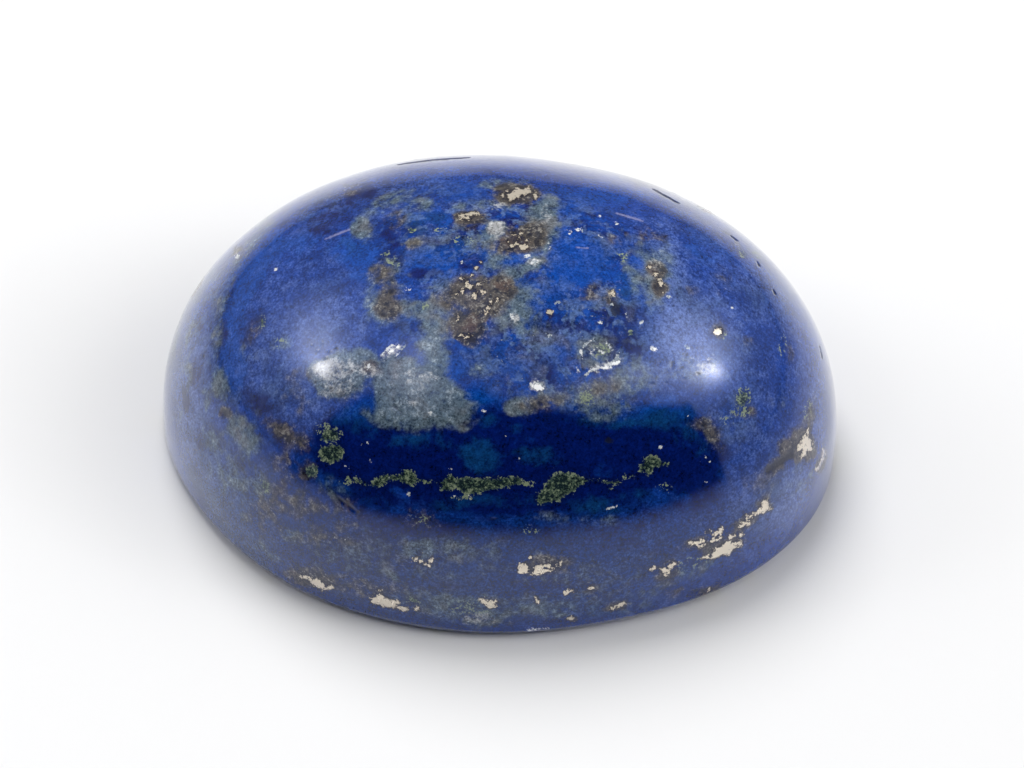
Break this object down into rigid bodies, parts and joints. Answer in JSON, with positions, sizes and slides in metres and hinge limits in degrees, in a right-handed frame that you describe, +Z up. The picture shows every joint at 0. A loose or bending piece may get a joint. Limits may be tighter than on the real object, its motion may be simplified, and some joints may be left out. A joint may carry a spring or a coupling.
{
  "type": "polished lapis lazuli cabochon",
  "caption": "Polished oval lapis lazuli cabochon with a high dome and a flat back, deep blue with pale cloudy patches, green and brown veins and pyrite flecks.",
  "frame": {"origin": "centre of the stone's footprint box, on the flat back", "axes": "+Z up out of the back to the crown of the dome, +X along the oval's long axis, +Y across it"},
  "size_m": [0.025, 0.0186, 0.0108],
  "materials": {
    "lapis_lazuli": "polished"
  },
  "bodies": {
    "root": {"lapis_cabochon": "lapis_lazuli"}
  },
  "joints": []
}
